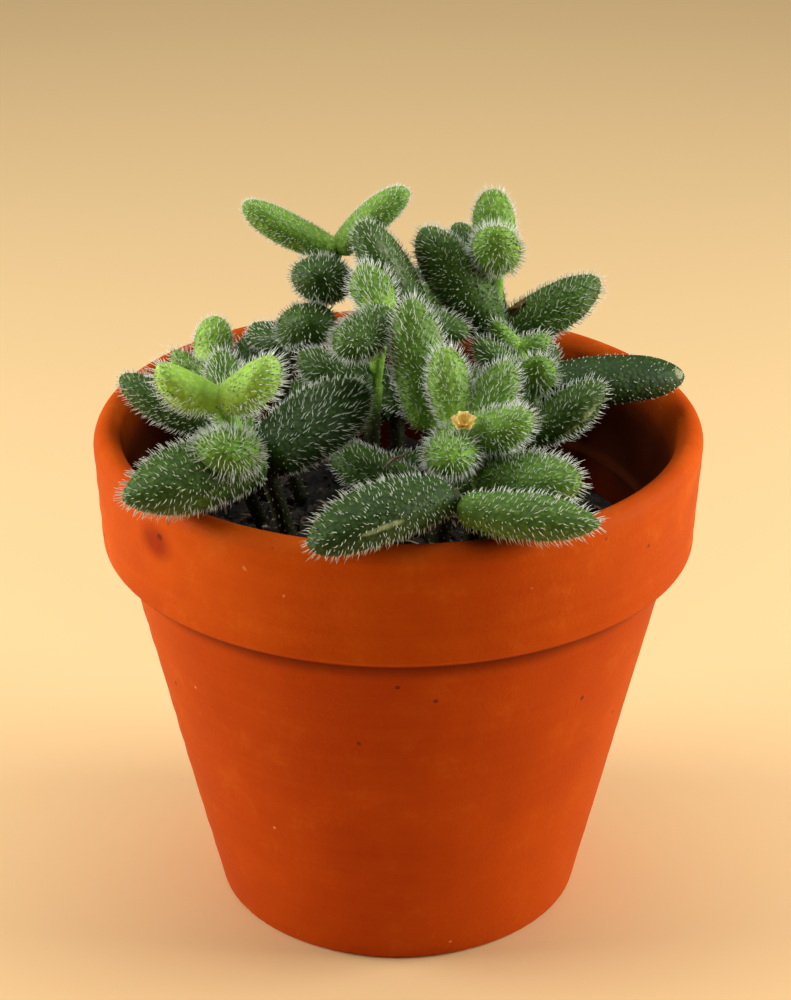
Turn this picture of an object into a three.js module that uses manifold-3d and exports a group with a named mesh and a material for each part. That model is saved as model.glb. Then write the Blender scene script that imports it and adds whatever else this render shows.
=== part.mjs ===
// A potted pickle plant: a small bristly leaf succulent in a clay pot with a deep rolled rim.
// Millimetres, +Z up. The origin is the middle of the pot's foot, and -Y is the front.
import * as THREE from 'three';
import { mergeVertices } from 'three/addons/utils/BufferGeometryUtils.js';
import Module from 'manifold-3d';

const wasm = await Module();
wasm.setup();

// Pot
const RIM_RADIUS = 40;
const POT_HEIGHT = 68.5;
const COLLAR_FOOT_RADIUS = 39.2;
const COLLAR_FOOT_HEIGHT = 52.2;
const SHOULDER_RADIUS = 36.3;
const FOOT_RADIUS = 24.5;
const FOOT_BEVEL = 0.7;
const LIP_RADIUS = 38.2;
const LIP_DROP = 2.2;
const MOUTH_RADIUS = 36.4;
const THROAT_RADIUS = 33.2;
const FLOOR_RADIUS = 21;
const FLOOR_HEIGHT = 5;
const DRAIN_RADIUS = 5;
const POT_SIDES = 44;
const LIP_STEPS = 6;

// Soil
const SOIL_HEIGHT = 50;
const SOIL_RINGS = [27, 20, 13, 6];
const SOIL_RELIEF = 0.7;
const MOUND_PLACE = [-7, -13];
const MOUND_HEIGHT = 8;
const MOUND_SPREAD = 11;

// Wilted flower
const FLOWER_PLACE = [8, -24.2, 78.2];
const FLOWER_CALYX = 0.75;
const PETALS = 7;
const PETAL_LENGTH = 1.9;
const PETAL_WIDTH = 0.9;
const PETAL_THICKNESS = 0.7;

// Clear space between neighbouring pieces, and how deep a stem stands in the soil
const CLEAR = 0.35;
const ROOT_DEPTH = 6;

// Leaves, stems and bristles
const LEAF_SIDES = 8;
const LEAF_RINGS = [0.02, 0.24, 0.5, 0.75, 0.93];
const BELLY = 0.52;
const NECK = 0.68;
const UPPER_DEPTH = 0.74;
const UNDER_DEPTH = 0.84;
const STEM_SIDES = 7;
const STEM_STEP = 5;
const BRISTLE_LENGTH = 1.1;
const BRISTLE_FOOT = 0.3;
const BRISTLE_LEAN = 0.35;
const BRISTLE_SHARE = 0.115;

const CLAY = { color: 0xb4481a, roughness: 0.8, metalness: 0 };
const EARTH = { color: 0x2a2019, roughness: 1, metalness: 0 };
const OLD_LEAF = { color: 0x35521f, roughness: 0.6, metalness: 0 };
const YOUNG_LEAF = { color: 0x7fa62f, roughness: 0.55, metalness: 0 };
const PETAL = { color: 0xf0a51c, roughness: 0.7, metalness: 0 };

// Each shoot grows through its stem's points, from the soil or from the end of the shoot it
// stands on. A leaf is [stem point, heading, rise, length, width, curve, point]: heading turns
// from +X towards +Y and rise is above level, both in degrees, curve bends the tip up or down,
// and point draws the tip out from blunt, 0, to sharp, 1.
const SHOOTS = [
  {
    name: 'shoot_left', look: OLD_LEAF, thick: 1.2,
    stem: [[-13, -12, 50], [-14.5, -17, 61], [-17.2, -22.3, 72.4], [-19.4, -22.5, 74.4]],
    leaves: [
      [2, -142, 4, 19.6, 10, -0.03, 0.9], [2, 45, 12, 18.6, 9.8, 0.01, 0.3],
      [3, -104, 14, 10.5, 7.4, 0.03, 0.3], [3, 108, 42, 12.5, 5.4, 0.04, 0.3],
    ],
  },
  {
    name: 'tip_left', look: YOUNG_LEAF, thick: 1.3, on: 'shoot_left',
    stem: [[-19.4, -22.5, 74.4], [-21.5, -24.5, 81.3]],
    leaves: [[1, -166, 24, 9, 5.8, 0.07, 0.1], [1, -14, 30, 9, 6.6, 0.07, 0.1]],
  },
  {
    name: 'shoot_far_left', look: OLD_LEAF, thick: 1,
    stem: [[-17, -2, 50], [-20, -4, 60], [-23, -6, 69.5]],
    leaves: [[2, 167, 20, 14.5, 6, 0.03, 0.3], [2, -15, -25, 11, 5, 0.1, 0.3]],
  },
  {
    name: 'tip_far_left', look: YOUNG_LEAF, thick: 0.8, on: 'shoot_far_left',
    stem: [[-23, -6, 69.5], [-24, -3, 74]],
    leaves: [[1, 151, 22, 7, 4, 0.08, 0.5], [1, -20, 25, 5, 3.4, 0.08, 0.4]],
  },
  {
    name: 'shoot_back_left', look: OLD_LEAF, thick: 1,
    stem: [[-18, 13, 50], [-21, 14, 59], [-23, 15, 66]],
    leaves: [
      [2, 62, 26, 10.6, 5.4, 0.05, 0.2], [2, -130, 0, 10, 4.8, 0.08, 0.3],
      [1, 120, 25, 10, 4.8, 0.1, 0.3],
    ],
  },
  {
    name: 'tip_back_left', look: YOUNG_LEAF, thick: 0.9, on: 'shoot_back_left',
    stem: [[-23, 15, 66], [-25.8, 16, 69]],
    leaves: [[1, 79, 47, 7, 5.2, 0.05, 0.3], [1, -100, 5, 6, 3.8, 0.08, 0.4]],
  },
  {
    name: 'shoot_top', look: OLD_LEAF, thick: 1,
    stem: [[-13, 10, 50], [-16, 10, 63], [-13.5, 10.5, 75.6], [-9.3, 11, 82.3]],
    leaves: [
      [2, 130, -20, 10, 5.4, 0.08, 0.3], [2, -76, 34, 13, 7.4, -0.03, 0.1],
      [3, -98, 33, 12, 7.5, -0.03, 0.2], [3, 90, -10, 10, 6, 0.05, 0.3], [1, 60, 15, 12, 5.4, 0.08, 0.3],
    ],
  },
  {
    name: 'tip_top', look: YOUNG_LEAF, thick: 0.8, on: 'shoot_top',
    stem: [[-9.3, 11, 82.3], [-8.1, 11, 87.5]],
    leaves: [[1, -175, 27, 14, 5.5, 0.02, 0], [1, 0, 46, 12.6, 5.4, -0.03, 0]],
  },
  {
    name: 'shoot_middle', look: OLD_LEAF, thick: 1.1,
    stem: [[-3, -3, 50], [-3.5, -3, 63], [-3, -4.5, 75.5]],
    leaves: [
      [2, 172, 11, 10.5, 6, 0.03, 0.3], [1, 178, 30, 10.5, 5.6, 0.1, 0.3],
      [1, -10, 0, 9, 5.2, 0.1, 0.3],
    ],
  },
  {
    name: 'tip_middle', look: YOUNG_LEAF, thick: 1, on: 'shoot_middle',
    stem: [[-3, -4.5, 75.5], [-1.8, -6, 85.5]],
    leaves: [[1, -118, -11, 11, 6.2, 0.03, 0.2], [1, 118, 33, 7.5, 5.6, 0.03, 0.9]],
  },
  {
    name: 'shoot_behind', look: OLD_LEAF, thick: 1.1,
    stem: [[5, 5, 50], [4, 4, 68], [2.5, 3, 82]],
    leaves: [
      [2, 170, 57, 14, 7.2, 0, 0.3], [2, -40, -18, 8, 5.2, 0.08, 0.4], [1, 150, 15, 11, 5.4, 0.08, 0.3],
    ],
  },
  {
    name: 'shoot_inner', look: OLD_LEAF, thick: 1.1,
    stem: [[3, -9, 50], [3.5, -11.5, 63], [4.1, -14.5, 72.9]],
    leaves: [
      [2, 128, 75, 17, 7, 0, 0.5], [1, 165, 14, 13.5, 7, 0.05, 0.3], [1, 5, 10, 10, 5.4, 0.1, 0.3],
    ],
  },
  {
    name: 'shoot_back_right', look: OLD_LEAF, thick: 1.2,
    stem: [[12, 10, 50], [12.5, 9.5, 65], [13, 9, 76.5]],
    leaves: [
      [2, -159, 57, 19, 8.8, 0, 0.1], [2, 8, 23, 15.5, 7.6, 0.03, 0.4],
      [2, 126, 56, 15.8, 6.6, 0, 0.2], [1, 40, -25, 9, 5.4, 0.06, 0.3],
    ],
  },
  {
    name: 'tip_back_right', look: YOUNG_LEAF, thick: 0.95, on: 'shoot_back_right',
    stem: [[13, 9, 76.5], [13, 9, 86.7]],
    leaves: [[1, 97, 54, 9.6, 5.6, 0.05, 0.1], [1, -95, 36, 10, 6.2, 0.05, 0.1]],
  },
  {
    name: 'shoot_low_front', look: OLD_LEAF, thick: 1.2,
    stem: [[4, -20, 50], [5, -26, 61], [6, -32, 72.1], [7, -35, 71.9]],
    leaves: [[2, -146, 3, 19.6, 8.4, -0.06, 0.3], [3, -13, -1, 17.2, 6.7, 0, 0.8]],
  },
  {
    name: 'shoot_front', look: OLD_LEAF, thick: 1.2,
    stem: [[8, -15, 50], [9.5, -19, 61], [10.5, -22, 70.6]],
    leaves: [[2, -40, 6, 14.5, 9, 0.03, 0.5], [1, 10, 5, 11, 5.4, 0.08, 0.3]],
  },
  {
    name: 'tip_front', look: YOUNG_LEAF, thick: 1.2, on: 'shoot_front',
    stem: [[10.5, -22, 70.6], [7.8, -20.3, 75.3]],
    leaves: [
      [1, -103, -3, 10.5, 6.2, 0.03, 0.1], [1, 122, 62, 10.6, 5.4, 0.03, 0.1],
      [1, 34, 39, 10.4, 6, 0.05, 0.2], [1, -29, 15, 10.1, 6.8, 0.05, 0.3],
    ],
  },
  {
    name: 'shoot_right', look: OLD_LEAF, thick: 1.2,
    stem: [[14, -5, 50], [16, -8, 61], [16, -8.5, 69.5], [17.5, -2, 73.7]],
    leaves: [
      [3, 16, -1, 21, 7.8, -0.015, 0.2], [2, -3, 32, 12.5, 6.8, 0.03, 0.6],
      [3, -87, 38, 8.9, 5, 0.05, 0.3], [3, 180, 36, 9.8, 5, 0.03, 0.3],
    ],
  },
  {
    name: 'tip_right', look: YOUNG_LEAF, thick: 0.8, on: 'shoot_right',
    stem: [[17.5, -2, 73.7], [15.5, 2, 77.7]],
    leaves: [[1, -160, 40, 5, 3.4, 0.05, 0.4], [1, 10, 3, 4.5, 3.2, 0.05, 0.4]],
  },
  {
    name: 'shoot_rear', look: OLD_LEAF, thick: 1.1,
    stem: [[0, 17, 50], [0, 20, 61], [1, 22, 69.4]],
    leaves: [
      [2, 87, 13, 21, 7.6, -0.03, 0.4], [2, -95, 30, 9, 5.4, 0.05, 0.3],
      [1, 20, 10, 13, 6.2, 0.06, 0.3], [1, 160, 8, 12, 6.2, 0.06, 0.3],
    ],
  },
  {
    name: 'tip_rear', look: YOUNG_LEAF, thick: 0.9, on: 'shoot_rear',
    stem: [[1, 22, 69.4], [1, 22, 74.4]],
    leaves: [[1, 10, 30, 8, 5, 0.05, 0.2], [1, -170, 30, 8, 5, 0.05, 0.2]],
  },
  {
    name: 'shoot_rear_right', look: OLD_LEAF, thick: 1,
    stem: [[16, 18, 50], [18, 19, 56], [19, 20, 60]],
    leaves: [[2, 75, 50, 11, 5.6, 0.05, 0.3], [2, -25, 30, 9, 5.4, 0.05, 0.3]],
  },
];

// A welded solid from a three.js geometry: corners that share a place become one vertex
function solidOf(geometry) {
  const bare = geometry.clone();
  bare.deleteAttribute('normal');
  bare.deleteAttribute('uv');
  const welded = mergeVertices(bare, 1e-4);
  const index = welded.index.array;
  const corners = [];
  for (let i = 0; i < index.length; i += 3) {
    const [a, b, c] = [index[i], index[i + 1], index[i + 2]];
    if (a !== b && b !== c && c !== a) corners.push(a, b, c);
  }
  return solidFrom(welded.attributes.position.array, corners);
}

function solidFrom(places, corners) {
  const solid = new wasm.Manifold(new wasm.Mesh({
    numProp: 3,
    vertProperties: new Float32Array(places),
    triVerts: new Uint32Array(corners),
  }));
  if (solid.volume() > 0) return solid;
  const turned = [];
  for (let i = 0; i < corners.length; i += 3) turned.push(corners[i], corners[i + 2], corners[i + 1]);
  return solidFrom(places, turned);
}

function meshOf(name, solid, look) {
  const { vertProperties, triVerts } = solid.getMesh();
  const geometry = new THREE.BufferGeometry();
  geometry.setAttribute('position', new THREE.BufferAttribute(vertProperties, 3));
  geometry.setIndex(new THREE.BufferAttribute(triVerts, 1));
  geometry.computeVertexNormals();
  const mesh = new THREE.Mesh(geometry, new THREE.MeshStandardMaterial(look));
  mesh.name = name;
  return mesh;
}

// A ring-shaped or solid turning about Z from [radius, height] points, outside first
function turned(points) {
  const outline = points.map(([radius, height]) => new THREE.Vector2(radius, height));
  return new THREE.LatheGeometry(outline, POT_SIDES).rotateX(Math.PI / 2);
}

// The radius of the pot's inner wall at a height: two straight tapers that meet at the throat
function innerRadius(height) {
  const [low, high, from, to] = height < COLLAR_FOOT_HEIGHT
    ? [FLOOR_HEIGHT, COLLAR_FOOT_HEIGHT, FLOOR_RADIUS, THROAT_RADIUS]
    : [COLLAR_FOOT_HEIGHT, POT_HEIGHT - LIP_DROP, THROAT_RADIUS, MOUTH_RADIUS];
  return THREE.MathUtils.mapLinear(height, low, high, from, to);
}

// The lip is two quarter ellipses, out to the rim and in to the mouth
function lip() {
  const points = [];
  for (let step = 0; step <= LIP_STEPS; step += 1) {
    const turn = (step / LIP_STEPS) * Math.PI;
    const side = Math.cos(turn);
    const reach = side > 0 ? RIM_RADIUS - LIP_RADIUS : LIP_RADIUS - MOUTH_RADIUS;
    points.push([LIP_RADIUS + side * reach, POT_HEIGHT - LIP_DROP * (1 - Math.sin(turn))]);
  }
  return points;
}

function pot() {
  const outline = [
    [DRAIN_RADIUS + 0.4, 0],
    [FOOT_RADIUS, 0],
    [FOOT_RADIUS + FOOT_BEVEL, FOOT_BEVEL],
    [SHOULDER_RADIUS - 0.15, COLLAR_FOOT_HEIGHT - 1.2],
    [SHOULDER_RADIUS + 0.4, COLLAR_FOOT_HEIGHT - 0.1],
    [COLLAR_FOOT_RADIUS - 0.8, COLLAR_FOOT_HEIGHT],
    [COLLAR_FOOT_RADIUS, COLLAR_FOOT_HEIGHT + 0.8],
    ...lip(),
    [THROAT_RADIUS, COLLAR_FOOT_HEIGHT],
    [FLOOR_RADIUS, FLOOR_HEIGHT],
    [DRAIN_RADIUS, FLOOR_HEIGHT],
    [DRAIN_RADIUS, 0.4],
    [DRAIN_RADIUS + 0.4, 0],
  ];
  return solidOf(turned(outline));
}

// The soil's surface: a low mound round the front stems, and two crossing waves
function soilTop(x, y) {
  const away = Math.hypot(x - MOUND_PLACE[0], y - MOUND_PLACE[1]) / MOUND_SPREAD;
  const wave = Math.sin(0.5 * x + 1) * Math.cos(0.6 * y) + 0.5 * Math.sin(1.1 * y - 0.9 * x);
  return SOIL_HEIGHT + MOUND_HEIGHT * Math.exp(-away * away / 2) + SOIL_RELIEF * wave;
}

// The soil fills the pot. Its top is a few rings, each point raised to the soil's surface.
function soil() {
  const under = FLOOR_HEIGHT + CLEAR;
  const geometry = turned([
    [0, under],
    [innerRadius(under) - CLEAR, under],
    [innerRadius(SOIL_HEIGHT) - CLEAR - 0.1, SOIL_HEIGHT - 0.6],
    ...SOIL_RINGS.map((radius) => [radius, SOIL_HEIGHT]),
    [0, SOIL_HEIGHT],
  ]);
  const place = geometry.attributes.position;
  for (let i = 0; i < place.count; i += 1) {
    if (place.getZ(i) > SOIL_HEIGHT - 0.1) place.setZ(i, soilTop(place.getX(i), place.getY(i)));
  }
  return solidOf(geometry);
}

// The part of a leaf's full half width at s along it: a sine swell from neck to belly, then a
// tip whose edge is a superellipse
function girth(s, point) {
  if (s < BELLY) return NECK + (1 - NECK) * Math.sin((s / BELLY) * (Math.PI / 2));
  const beyond = (s - BELLY) / (1 - BELLY);
  return (1 - beyond ** (2.3 - 0.5 * point)) ** (1 / (2.1 - 0.8 * point));
}

function asVector([x, y, z]) {
  return new THREE.Vector3(x, y, z);
}

// A leaf's own frame: along it, across it and up out of its upper face, at each s
function leafFrame(foot, [, heading, rise, length, width, curve, point]) {
  const turn = THREE.MathUtils.degToRad(heading);
  const lift = THREE.MathUtils.degToRad(rise);
  const along = new THREE.Vector3(
    Math.cos(turn) * Math.cos(lift), Math.sin(turn) * Math.cos(lift), Math.sin(lift));
  const across = new THREE.Vector3(Math.sin(turn), -Math.cos(turn), 0);
  const up = across.clone().cross(along);
  const middle = (s) => foot.clone()
    .addScaledVector(along, length * s)
    .addScaledVector(up, length * curve * (4 * s * s - 2 * s));
  return { along, across, up, middle, width, point };
}

// A slightly flattened spindle along its frame
function leafBody({ across, up, middle, width, point }, sides, rings) {
  const outline = [[0, 0], ...rings.map((s) => [girth(s, point), s]), [0, 1]];
  const geometry = new THREE.LatheGeometry(
    outline.map(([radius, s]) => new THREE.Vector2(radius, s)), sides);
  const place = geometry.attributes.position;
  for (let i = 0; i < place.count; i += 1) {
    const [wide, s, deep] = [place.getX(i), place.getY(i), place.getZ(i)];
    const flat = deep > 0 ? UPPER_DEPTH : UNDER_DEPTH;
    const at = middle(s)
      .addScaledVector(across, wide * width / 2)
      .addScaledVector(up, deep * flat * width / 2);
    place.setXYZ(i, at.x, at.y, at.z);
  }
  return geometry;
}

// Every leaf's middle line and half width, to keep bristles out of the neighbouring shoots
const NEIGHBOURS = SHOOTS.flatMap(({ name, stem, leaves }) => leaves.map((leaf) => ({
  name, frame: leafFrame(asVector(stem[leaf[0]]), leaf),
})));

function isFree(point, name) {
  const radius = Math.hypot(point.x, point.y);
  const onRim = point.z < POT_HEIGHT + CLEAR && radius > MOUTH_RADIUS - 3;
  const inSoil = point.z < soilTop(point.x, point.y) + 2;
  return !onRim && !inSoil && !NEIGHBOURS.some(({ name: other, frame }) => {
    if (other === name) return false;
    for (let s = 0; s <= 1; s += 0.1) {
      const reach = girth(s, frame.point) * frame.width / 2 + 3 * CLEAR;
      if (frame.middle(s).distanceTo(point) < reach) return true;
    }
    return false;
  });
}

// Raises a pointed bristle from a small triangle inside each chosen face of a leaf. A face is
// chosen by stepping round the golden section, which spreads them evenly.
function bristly(geometry, frame, name, seed) {
  const bare = geometry.clone();
  bare.deleteAttribute('normal');
  bare.deleteAttribute('uv');
  const welded = mergeVertices(bare, 1e-4);
  const index = welded.index.array;
  const places = Array.from(welded.attributes.position.array);
  const corners = [];
  const corner = (i) => new THREE.Vector3().fromArray(places, 3 * i);
  const add = (point) => places.push(...point.toArray()) / 3 - 1;
  for (let i = 0; i < index.length; i += 3) {
    const ring = [index[i], index[i + 1], index[i + 2]];
    if (new Set(ring).size < 3) continue;
    const points = ring.map(corner);
    const face = new THREE.Triangle(...points);
    const middle = face.getMidpoint(new THREE.Vector3());
    const normal = face.getNormal(new THREE.Vector3());
    const reach = points.reduce((sum, point) => sum + point.distanceTo(middle), 0) / 3;
    const apex = middle.clone().addScaledVector(
      normal.clone().addScaledVector(frame.along, BRISTLE_LEAN).normalize(), BRISTLE_LENGTH);
    const chosen = ((i / 3 + seed) * 0.618034) % 1 < BRISTLE_SHARE;
    if (!chosen || reach < 2 * BRISTLE_FOOT || !isFree(apex, name)) {
      corners.push(...ring);
      continue;
    }
    const foot = points.map((point) => add(point.lerp(middle, 1 - BRISTLE_FOOT / reach)));
    const tip = add(apex);
    for (let k = 0; k < 3; k += 1) {
      const next = (k + 1) % 3;
      corners.push(ring[k], ring[next], foot[next], ring[k], foot[next], foot[k]);
      corners.push(foot[k], foot[next], tip);
    }
  }
  return solidFrom(places, corners);
}

// A round stem carried along a smooth curve through its points
function stemSolid(points, radius) {
  const path = new THREE.CatmullRomCurve3(points, false, 'centripetal');
  const steps = Math.max(2, Math.round(path.getLength() / STEM_STEP));
  const frames = path.computeFrenetFrames(steps);
  const geometry = new THREE.CylinderGeometry(radius, radius, 1, STEM_SIDES, steps);
  const place = geometry.attributes.position;
  for (let i = 0; i < place.count; i += 1) {
    const step = Math.round((place.getY(i) + 0.5) * steps);
    const at = path.getPointAt(step / steps)
      .addScaledVector(frames.normals[step], place.getX(i))
      .addScaledVector(frames.binormals[step], -place.getZ(i));
    place.setXYZ(i, at.x, at.y, at.z);
  }
  return solidOf(geometry);
}

// A stem that stands in the soil starts below it, and one on another shoot a clear gap above it
function stemPoints({ stem, on }, extra) {
  const [first, second, ...rest] = stem.map(asVector);
  if (on) return [first.clone().lerp(second, (CLEAR - extra) / first.distanceTo(second)), second];
  const root = first.clone().setZ(first.z - ROOT_DEPTH - extra);
  return [root, first, second, ...rest];
}

function shootSolid(shoot) {
  let solid = stemSolid(stemPoints(shoot, 0), shoot.thick);
  shoot.leaves.forEach((leaf, number) => {
    const frame = leafFrame(asVector(shoot.stem[leaf[0]]), leaf);
    const body = leafBody(frame, LEAF_SIDES, LEAF_RINGS);
    solid = solid.add(bristly(body, frame, shoot.name, 5 * number + 3));
  });
  return solid;
}

// The space a stem needs: its flats, not only its corners, stand clear of the stem
function grownStem(shoot) {
  return stemSolid(stemPoints(shoot, CLEAR), (shoot.thick + CLEAR) / Math.cos(Math.PI / STEM_SIDES));
}

// The wilted flower: a squat calyx, and petals that lie outward round it, each a little turned
function flower() {
  const calyx = new THREE.SphereGeometry(1, 7, 4);
  let solid = solidOf(calyx.scale(FLOWER_CALYX, FLOWER_CALYX, 0.7 * FLOWER_CALYX));
  for (let number = 0; number < PETALS; number += 1) {
    const turn = (number / PETALS) * 2 * Math.PI;
    const petal = new THREE.SphereGeometry(1, 5, 3)
      .scale(PETAL_LENGTH / 2, PETAL_WIDTH / 2, PETAL_THICKNESS / 2)
      .rotateX(0.5 * Math.sin(3 * number + 1))
      .translate(PETAL_LENGTH / 2, 0, 0)
      .rotateY(-0.25 - 0.3 * Math.sin(2 * number))
      .rotateZ(turn);
    solid = solid.add(solidOf(petal));
  }
  return solid.translate(...FLOWER_PLACE);
}

const plant = new THREE.Group();
plant.name = 'potted_pickle_plant';
plant.add(meshOf('pot', pot(), CLAY));

// Fusing can seal a tiny hollow between two leaves: only the outer skin is kept, which fills it
function onePiece(solid) {
  return solid.decompose().reduce((most, piece) => (piece.volume() > most.volume() ? piece : most));
}

const shoots = new Map(SHOOTS.map((shoot) => [shoot.name, shootSolid(shoot)]));
let ground = soil();
for (const shoot of SHOOTS) {
  if (shoot.on) shoots.set(shoot.on, shoots.get(shoot.on).subtract(grownStem(shoot)));
  else ground = ground.subtract(grownStem(shoot));
}
plant.add(meshOf('soil', onePiece(ground), EARTH));
for (const { name, look } of SHOOTS) plant.add(meshOf(name, onePiece(shoots.get(name)), look));
plant.add(meshOf('wilted_flower', onePiece(flower()), PETAL));

export default plant;
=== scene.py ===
"""A potted pickle plant: bristly finger leaves, dry soil and a wilted flower in a clay pot."""

import math
from collections import namedtuple

import bpy
import numpy as np
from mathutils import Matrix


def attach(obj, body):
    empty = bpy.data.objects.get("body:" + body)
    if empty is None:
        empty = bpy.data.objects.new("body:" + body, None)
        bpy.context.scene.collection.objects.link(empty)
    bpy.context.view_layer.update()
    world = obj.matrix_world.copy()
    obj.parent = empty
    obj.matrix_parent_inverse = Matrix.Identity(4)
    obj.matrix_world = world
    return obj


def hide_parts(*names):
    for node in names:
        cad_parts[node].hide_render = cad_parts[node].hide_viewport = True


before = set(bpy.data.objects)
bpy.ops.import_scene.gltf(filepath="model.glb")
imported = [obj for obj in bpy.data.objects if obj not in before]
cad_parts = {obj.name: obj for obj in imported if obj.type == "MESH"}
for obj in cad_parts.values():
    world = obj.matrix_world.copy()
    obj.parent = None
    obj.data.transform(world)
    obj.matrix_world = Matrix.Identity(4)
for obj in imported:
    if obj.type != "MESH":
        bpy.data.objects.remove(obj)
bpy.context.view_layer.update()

# Lengths below are in millimetres, and every mesh is scaled to metres as it is made
MM = 0.001
TURN = 2 * math.pi
GOLDEN_ANGLE = math.pi * (3 - math.sqrt(5))
draw = np.random.default_rng(7)

# Pot
POT_SIDES = 288
RIM_RADIUS = 40
POT_HEIGHT = 68.5
COLLAR_FOOT_RADIUS = 39.2
COLLAR_FOOT_HEIGHT = 52.2
SHOULDER_RADIUS = 36.3
FOOT_RADIUS = 24.5
FOOT_BEVEL = 0.7
LIP_RADIUS = 38.2
LIP_DROP = 2.2
MOUTH_RADIUS = 36.4
THROAT_RADIUS = 33.2
FLOOR_RADIUS = 21
FLOOR_HEIGHT = 5
DRAIN_RADIUS = 5

# Soil
SOIL_SIDES = 200
SOIL_HEIGHT = 50
SOIL_RELIEF = 0.7
MOUND_PLACE = (-7, -13)
MOUND_HEIGHT = 8
MOUND_SPREAD = 11

# Leaves and stems
LEAF_ROWS = 40
LEAF_SIDES = 30
STEM_ROWS = 40
STEM_SIDES = 20
BELLY = 0.52
NECK = 0.68
UPPER_DEPTH = 0.74
UNDER_DEPTH = 0.84
ROOT_DEPTH = 6
CLEAR = 0.35

# Bristles
HAIR_SIDES = 3
HAIR_STRETCH = 1.15
STEM_HAIR_LENGTH = 0.7

# Flower
FLOWER_PLACE = (7.9, -24.4, 78.0)
FLOWER_TILT = 24

# Camera
CAMERA_PLACE = (-0.00036, -0.320, 0.20804)
CAMERA_DOWN = 25.37
CAMERA_LENS = 95.64

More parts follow.
